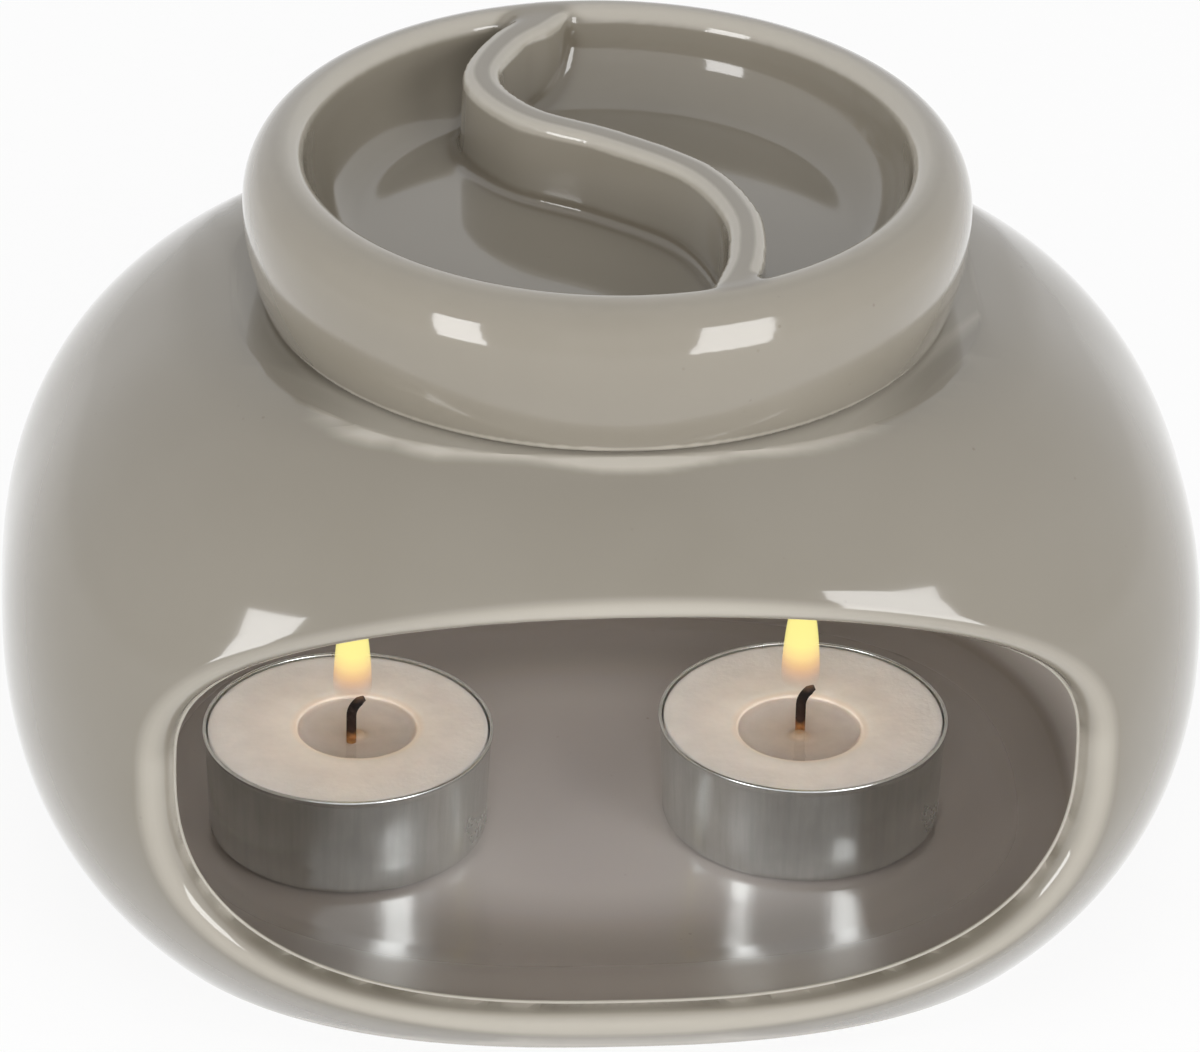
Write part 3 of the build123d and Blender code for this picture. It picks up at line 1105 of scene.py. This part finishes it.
# wax, set and melted
paraffin = {
    "span": 19.0,  # the radius at which the tone ramps end
    "wobble": 1.2,
    "wobbleNoise": (130, 2, 0.5),
    "wickTones": ((0.0, (0.8, 0.55, 0.34, 1)), (0.09, (0.88, 0.76, 0.66, 1))),
    "poolTones": (  # from the pool's edge
        (-0.05, (0.93, 0.86, 0.82, 1)),
        (0.02, (0.88, 0.78, 0.73, 1)),
        (0.06, (0.83, 0.785, 0.77, 1)),
    ),
    "outerTones": ((0.66, (0.82, 0.765, 0.75, 1)), (0.9, (0.85, 0.81, 0.8, 1))),
    "roughRamp": ((0.0, 0.34), (0.1, 0.46)),  # from the pool's edge
    "mottleNoise": (260, 4, 0.6),
    "mottleRamp": ((0.35, 0.93), (0.65, 1.0)),
    "grainNoise": (240, 3, 0.5),
    "pitNoise": (1400, 2, 0.6),
    "pitRamp": ((0.6, 0.0), (0.95, 0.7)),
    "bump": (0.5, 0.25),
    "shine": 1.43,
    "glow": 0.15,
    "glowDepth": 4.0,
    "glowColours": (1.0, 0.7, 0.5),
}
liquid = {
    "tintNoise": (90, 2, 0.5),
    "tintRamp": ((0.3, (0.99, 0.95, 0.89, 1)), (0.7, (1.0, 0.97, 0.93, 1))),
    "waveNoise": (180, 1, 0.4),
    "bump": (0.3, 0.1),
    "roughness": 0.04,
}


def waxMaterial(side):
    material, tree, principled = newMaterial("paraffinWax_" + side)
    vector = fromAxis(tree, placeOf(side, tealight["poolShifts"]))
    poolEdge = tealight["pools"][side] / paraffin["span"]
    wobble = doMath(tree, "SUBTRACT", noise(tree, vector, paraffin["wobbleNoise"]), 0.5)
    wobble = times(tree, wobble, paraffin["wobble"] * mm)
    distance = plus(tree, lengthOf(tree, vector, (1, 1, 0)), wobble)
    ring = doMath(tree, "DIVIDE", distance, paraffin["span"] * mm)
    poolTones = tuple((poolEdge + share, tone) for share, tone in paraffin["poolTones"])
    tone = ramp(tree, paraffin["wickTones"] + poolTones + paraffin["outerTones"], ring)
    mottle = ramp(tree, paraffin["mottleRamp"], noise(tree, vector, paraffin["mottleNoise"]))
    tone = mixColour(tree, "MULTIPLY", 1.0, tone, mottle)
    rough = ramp(tree, [(poolEdge + share, value) for share, value in paraffin["roughRamp"]], ring)
    outer = ramp(tree, paraffin["pitRamp"], ring)
    pits = times(tree, noise(tree, vector, paraffin["pitNoise"]), outer)
    grain = plus(tree, noise(tree, vector, paraffin["grainNoise"]), pits)
    addBump(tree, grain, *paraffin["bump"])
    setInputs(principled, Base_Color=tone, Roughness=rough, IOR=paraffin["shine"])
    setInputs(principled, Subsurface_Weight=paraffin["glow"], Subsurface_Scale=paraffin["glowDepth"] * mm)
    setInputs(principled, Subsurface_Radius=paraffin["glowColours"])
    return material


def meltMaterial():
    material, tree, principled = newMaterial("liquidWax")
    place = objectPlace(tree)
    tint = ramp(tree, liquid["tintRamp"], noise(tree, place, liquid["tintNoise"]))
    addBump(tree, noise(tree, place, liquid["waveNoise"]), *liquid["bump"])
    setInputs(principled, Base_Color=tint, Roughness=liquid["roughness"])
    setInputs(principled, IOR=paraffin["shine"], Transmission_Weight=1.0)
    return material


# burnt cotton of the wicks
charred = {
    "below": 1.5,  # the ramps start this far under the pool and run over the span
    "span": 8.0,
    "wanderNoise": (900, 2, 0.5),
    "wander": 0.12,
    "tones": (
        (0.1, (0.55, 0.3, 0.12, 1)),
        (0.26, (0.36, 0.15, 0.05, 1)),
        (0.4, (0.035, 0.018, 0.012, 1)),
        (0.92, (0.012, 0.01, 0.01, 1)),
        (1.0, (0.05, 0.035, 0.03, 1)),
    ),
    "roughRamp": ((0.2, 0.45), (0.5, 0.85)),
    "braidScale": 420.0,
    "braidBends": 3.0,
    "bump": (0.8, 0.2),
    "specular": 0.15,
}


def shareUp(tree, place, bottom, span):  # 0 at the bottom, 1 at the span above it
    height = doMath(tree, "SUBTRACT", splitAxes(tree, place)["Z"], bottom * mm)
    return doMath(tree, "DIVIDE", height, span * mm)


def wickMaterial():
    material, tree, principled = newMaterial("charredCotton")
    place = objectPlace(tree)
    bottom = tealight["centres"]["left"][2] + wick["poolLevel"] - charred["below"]
    wander = times(tree, noise(tree, place, charred["wanderNoise"]), charred["wander"])
    up = plus(tree, shareUp(tree, place, bottom, charred["span"]), wander)
    braid = addNode(tree, "ShaderNodeTexWave", wave_type="BANDS", bands_direction="DIAGONAL")
    setInputs(braid, Scale=charred["braidScale"], Distortion=charred["braidBends"], Detail=2.0, Vector=place)
    addBump(tree, braid.outputs["Fac"], *charred["bump"])
    setInputs(principled, Base_Color=ramp(tree, charred["tones"], up))
    setInputs(principled, Roughness=ramp(tree, charred["roughRamp"], up))
    setInputs(principled, Specular_IOR_Level=charred["specular"])
    return material


# light of the flames
candleGlow = {
    "tones": (
        (0.0, (0.9, 0.5, 0.36, 1)),
        (0.28, (1.0, 0.55, 0.34, 1)),
        (0.37, (1.0, 0.64, 0.3, 1)),
        (0.5, (1.0, 0.9, 0.32, 1)),
        (1.0, (1.0, 0.8, 0.25, 1)),
    ),
    "strengthRamp": ((0.2, 0.5), (0.3, 0.8), (0.42, 1.0)),
    "solidRamp": ((0.21, 0.0), (0.28, 0.35), (0.35, 0.85), (0.42, 1.0)),
    "rimBlend": 0.35,
    "rimPower": 0.6,
    "cast": 5.6,
    "seen": 1.05,
}


def flameMaterial(side):
    material, tree, principled = newMaterial("candleGlow_" + side)
    tree.nodes.remove(principled)
    bottom = tealight["centres"][side][2] + flame["base"]
    up = shareUp(tree, objectPlace(tree), bottom, flame["height"])
    cast, less = candleGlow["cast"], candleGlow["cast"] - candleGlow["seen"]
    rays = addNode(tree, "ShaderNodeLightPath")  # the eye sees it toned down beside the light that it casts
    seen = seenBy(tree, rays, "Is Camera Ray", "Is Glossy Ray")
    power = doMath(tree, "SUBTRACT", cast, times(tree, seen, less))
    power = times(tree, ramp(tree, candleGlow["strengthRamp"], up), power)
    glow = addNode(tree, "ShaderNodeEmission")
    setInputs(glow, Color=ramp(tree, candleGlow["tones"], up), Strength=power)
    clear = addNode(tree, "ShaderNodeBsdfTransparent")
    facing = addNode(tree, "ShaderNodeLayerWeight")
    setInputs(facing, Blend=candleGlow["rimBlend"])
    solid = doMath(tree, "SUBTRACT", 1.0, facing.outputs["Facing"])
    solid = doMath(tree, "POWER", solid, candleGlow["rimPower"])
    solid = times(tree, solid, ramp(tree, candleGlow["solidRamp"], up))
    mixShaders(tree, solid, clear.outputs["BSDF"], glow.outputs["Emission"])
    return material


# pressed steel of the wick holders
steel = {
    "noise": (420, 3, 0.6),
    "toneRamp": ((0.3, (0.5, 0.42, 0.33, 1)), (0.7, (0.66, 0.6, 0.52, 1))),
    "roughRamp": ((0.3, 0.25), (0.7, 0.45)),
}


def holderMaterial():
    material, tree, principled = newMaterial("pressedSteel")
    patch = noise(tree, objectPlace(tree), steel["noise"])
    tone, rough = ramp(tree, steel["toneRamp"], patch), ramp(tree, steel["roughRamp"], patch)
    setInputs(principled, Base_Color=tone, Roughness=rough, Metallic=1.0)
    return material


def paint(obj, material):
    obj.data.materials.clear()
    obj.data.materials.append(material)


paint(ceramicBody, glazeMaterial("bodyGlaze", glaze["bodyTone"], glaze["bodyDeep"]))
# the chamber's faces take the painted-light copy of the glaze
ceramicBody.data.materials.append(chamberMaterial())
for face in ceramicBody.data.polygons:
    face.material_index = 1 if isInside(face.center) else 0
paint(oilDish, glazeMaterial("dishGlaze", glaze["dishTone"], glaze["dishDeep"]))
meltedWax, burntCotton, pressedSteel = meltMaterial(), wickMaterial(), holderMaterial()
for side in sides:
    paint(cups[side], cupMaterial(side))
    paint(waxDiscs[side], waxMaterial(side))
    paint(meltedPools[side], meltedWax)
    paint(wicks[side], burntCotton)
    paint(flames[side], flameMaterial(side))
    paint(nodes["wick_holder_" + side], pressedSteel)
print("materials set")

# studio: a sheet of paper, a white room and the lamps, in metres and watts
studio = {
    "floorSize": 6.0,
    "floorTone": (0.86, 0.86, 0.86, 1),
    "floorGlow": 0.88,
    "floorRoughness": 0.9,
    "fibreNoise": (300, 3, 0.6),
    "fibreRamp": ((0.3, 0.97), (0.7, 1.0)),
    "worldLight": 0.29,
    "worldGlossy": 0.85,
    "lampDistance": 0.9,
    "mirrored": ("softboxLeft", "softboxRight"),
}
lamps = {  # azimuth and roll in degrees, lower and upper edge or level over the floor
    "softboxLeft": {"azimuth": -48, "width": 0.24, "edges": (-0.1, 0.5), "roll": 9, "power": 2.9},
    "softboxRight": {"azimuth": 35, "width": 0.38, "edges": (-0.1, 0.66), "roll": -9, "power": 5.0},
    "frontFill": {"azimuth": -5, "distance": 0.8, "width": 0.4, "edges": (0.18, 0.58), "power": 3.6},
    "sideLeft": {"azimuth": -95, "width": 0.5, "edges": (0.1, 0.6), "power": 3.6},
    "sideRight": {"azimuth": 95, "width": 0.5, "edges": (0.1, 0.6), "power": 3.5},
    "overhead": {"azimuth": 180, "distance": 0.1, "width": 1.2, "level": 1.7, "power": 8.3},
}


def floorMaterial():
    material, tree, principled = newMaterial("paperSweep")
    fibre = ramp(tree, studio["fibreRamp"], noise(tree, objectPlace(tree), studio["fibreNoise"]))
    tone = mixColour(tree, "MULTIPLY", 1.0, studio["floorTone"], fibre)
    setInputs(principled, Base_Color=tone, Roughness=studio["floorRoughness"])
    rays = addNode(tree, "ShaderNodeLightPath")
    seen = seenBy(tree, rays, "Is Camera Ray", "Is Glossy Ray", "Is Transmission Ray")
    white = addNode(tree, "ShaderNodeEmission")
    setInputs(white, Strength=1.0)
    glowing = times(tree, seen, studio["floorGlow"])
    mixShaders(tree, glowing, principled.outputs["BSDF"], white.outputs["Emission"])
    return material


def makeWorld():
    world = bpy.data.worlds.new("whiteRoom")
    bpy.context.scene.world = world
    world.use_nodes = True
    tree = world.node_tree
    rays = addNode(tree, "ShaderNodeLightPath")
    light, glossy = studio["worldLight"], studio["worldGlossy"]
    seen = seenBy(tree, rays, "Is Camera Ray", "Is Transmission Ray")
    more = times(tree, seen, 1 - light)
    mirrored = times(tree, rays.outputs["Is Glossy Ray"], glossy - light)
    strength = plus(tree, plus(tree, more, mirrored), light)
    setInputs(tree.nodes["Background"], Color=(1, 1, 1, 1), Strength=strength)


def makeLamp(name, lamp):
    light = bpy.data.lights.new(name, "AREA")
    light.shape = "RECTANGLE"
    light.energy = lamp["power"]
    holder = bpy.data.objects.new(name, light)
    bpy.context.scene.collection.objects.link(holder)
    holder.visible_glossy = name in studio["mirrored"]
    around = math.radians(lamp["azimuth"])
    distance = lamp.get("distance", studio["lampDistance"])
    out = Vector((math.sin(around), -math.cos(around), 0)) * distance
    if "level" in lamp:
        light.size = light.size_y = lamp["width"]
        holder.location = out + Vector((0, 0, lamp["level"]))
    else:
        low, high = lamp["edges"]
        light.size, light.size_y = lamp["width"], high - low
        holder.location = out + Vector((0, 0, (low + high) / 2))
        roll = Quaternion((0, 0, 1), math.radians(lamp.get("roll", 0)))
        holder.rotation_euler = ((-out).to_track_quat("-Z", "Y") @ roll).to_euler()


clearSelection()
bpy.ops.mesh.primitive_plane_add(size=studio["floorSize"])
paperFloor = added("paperFloor")
paint(paperFloor, floorMaterial())
makeWorld()
for name, lamp in lamps.items():
    makeLamp(name, lamp)

view = {  # the photograph's camera: its place, the directions of its picture's right and up, its lens
    "place": (-67.819, -861.718, 540.717),
    "right": (0.997534, -0.067438, 0.019438),
    "up": (0.016442, 0.493807, 0.869416),
    "sensor": 36,
    "lens": 233.02,
    "shift": (-0.000803, -0.030062),
}
cameraData = bpy.data.cameras.new("camera")
cameraData.sensor_width = view["sensor"]
cameraData.lens = view["lens"]
cameraData.shift_x, cameraData.shift_y = view["shift"]
camera = bpy.data.objects.new("camera", cameraData)
bpy.context.scene.collection.objects.link(camera)
right, up = Vector(view["right"]), Vector(view["up"])
turnMatrix = Matrix((right, up, right.cross(up))).transposed().to_4x4()
camera.matrix_world = Matrix.Translation(Vector(view["place"]) * mm) @ turnMatrix
bpy.context.scene.camera = camera
bpy.context.scene.view_settings.view_transform = "Standard"
print("studio set")
